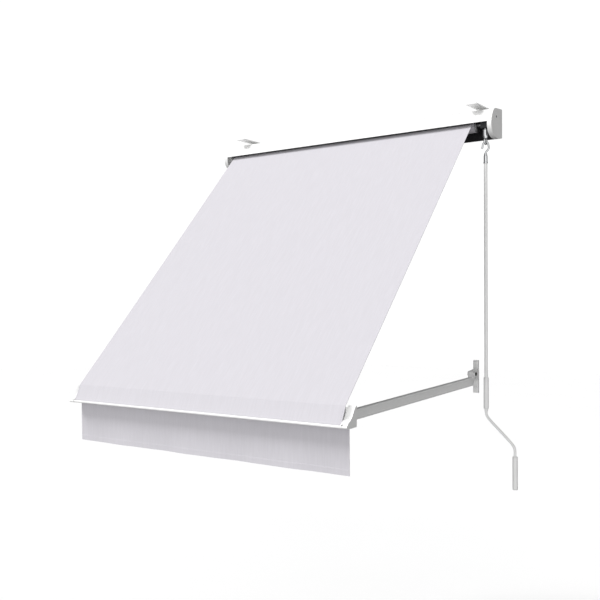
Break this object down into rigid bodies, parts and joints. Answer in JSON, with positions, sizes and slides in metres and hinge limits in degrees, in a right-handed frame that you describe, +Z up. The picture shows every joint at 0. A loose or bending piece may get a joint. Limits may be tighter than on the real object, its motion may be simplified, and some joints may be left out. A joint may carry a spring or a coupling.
{
  "type": "retractable drop-arm awning",
  "caption": "Wall-mounted drop-arm window awning: cassette with roller and worm gear, taut cloth, front bar with valance, two folding arms and a hooked hand crank.",
  "frame": {"origin": "middle of the cassette's flat back, on the wall plane", "axes": "+X along the awning towards the gear and crank side, +Y into the wall (the awning projects to -Y), +Z up"},
  "size_m": [1.595, 1.1517, 1.6515],
  "materials": {
    "white_paint": "white powder coat",
    "white_plastic": "moulded white plastic",
    "cloth": "woven awning cloth, very light lilac grey",
    "grey_cast": "bare die casting",
    "steel": "zinc plated",
    "chrome": "bright plated",
    "dark_steel": "dark plated",
    "dark_plastic": "moulded dark plastic"
  },
  "bodies": {
    "cassette": {"cassette_back": "white_paint", "cassette_hood": "white_paint", "idler_bearing": "dark_plastic", "gear_housing": "dark_plastic", "cloth_lead": "cloth", "end_cap_right": "white_plastic", "end_cap_screw_right": "dark_steel", "top_bracket_right": "white_paint", "bracket_screw_right_1": "white_paint", "bracket_screw_right_2": "white_paint", "wall_rail_right": "white_paint", "rail_bolt_right_1": "white_paint", "rail_bolt_right_2": "white_paint", "wall_clevis_right": "white_paint", "wall_pin_right": "dark_steel", "end_cap_left": "white_plastic", "end_cap_screw_left": "dark_steel", "top_bracket_left": "white_paint", "bracket_screw_left_1": "white_paint", "bracket_screw_left_2": "white_paint", "wall_rail_left": "white_paint", "rail_bolt_left_1": "white_paint", "rail_bolt_left_2": "white_paint", "wall_clevis_left": "white_paint", "wall_pin_left": "dark_steel"},
    "arms": {"arm_tube_right": "white_paint", "wall_knuckle_right": "white_paint", "bar_knuckle_right": "white_paint", "arm_spring_right": "dark_steel", "arm_tube_left": "white_paint", "wall_knuckle_left": "white_paint", "bar_knuckle_left": "white_paint", "arm_spring_left": "dark_steel"},
    "front_bar": {"bar_profile": "white_paint", "bar_cap_right": "white_plastic", "bar_cap_left": "white_plastic", "bar_keder": "white_plastic", "cloth_wrap": "cloth", "valance": "cloth", "bar_lug_right": "white_paint", "bar_pin_right": "dark_steel", "bar_lug_left": "white_paint", "bar_pin_left": "dark_steel"},
    "free_cloth": {"cloth_free": "cloth"},
    "roller": {"roller_tube": "steel", "cloth_roll": "cloth", "idler_plug": "dark_plastic", "drive_plug": "grey_cast", "worm_wheel": "steel"},
    "worm": {"worm_shaft": "steel", "crank_eye": "chrome"},
    "crank": {"crank_hook": "chrome", "crank_ferrule": "chrome", "crank_tube": "white_paint", "crank_handle": "white_paint"},
    "upper_sleeve": {"upper_sleeve": "white_plastic"},
    "lower_grip": {"lower_grip": "white_plastic"}
  },
  "joints": [
    {"name": "arm_swing", "type": "hinge", "parent": "cassette", "child": "arms", "pos_m": [0, -0.048, -1.095], "axis": [-1, 0, 0], "range_deg": [0, 94]},
    {"name": "bar_level", "type": "hinge", "parent": "arms", "child": "front_bar", "pos_m": [0, -1.0725, -1.1885], "axis": [-1, 0, 0], "range_deg": [-94, 0]},
    {"name": "cloth_lift", "type": "hinge", "parent": "cassette", "child": "free_cloth", "pos_m": [0, -0.1, -0.0122], "axis": [-1, 0, 0], "range_deg": [0, 47], "deforming": ["cloth_free"]},
    {"name": "crank_turn", "type": "hinge", "parent": "cassette", "child": "worm", "pos_m": [0.705, -0.075, -0.03], "axis": [0, 0, 1], "continuous": true},
    {"name": "roller_spin", "type": "hinge", "parent": "cassette", "child": "roller", "pos_m": [0, -0.048, -0.002], "axis": [1, 0, 0], "continuous": true},
    {"name": "crank_swing", "type": "hinge", "parent": "worm", "child": "crank", "pos_m": [0.705, -0.075, -0.0862], "axis": [-1, 0, 0], "range_deg": [-2, 60]},
    {"name": "sleeve_spin", "type": "hinge", "parent": "crank", "child": "upper_sleeve", "pos_m": [0.705, -0.075, -1.1725], "axis": [0, 0, 1], "continuous": true},
    {"name": "grip_spin", "type": "hinge", "parent": "crank", "child": "lower_grip", "pos_m": [0.834, -0.075, -1.504], "axis": [0, 0, 1], "continuous": true}
  ],
  "couplings": [
    {"joint": "bar_level", "follows": "arm_swing", "ratio": -1},
    {"joint": "cloth_lift", "follows": "arm_swing", "ratio": 0.5},
    {"joint": "roller_spin", "follows": "crank_turn", "ratio": 0.090909}
  ]
}
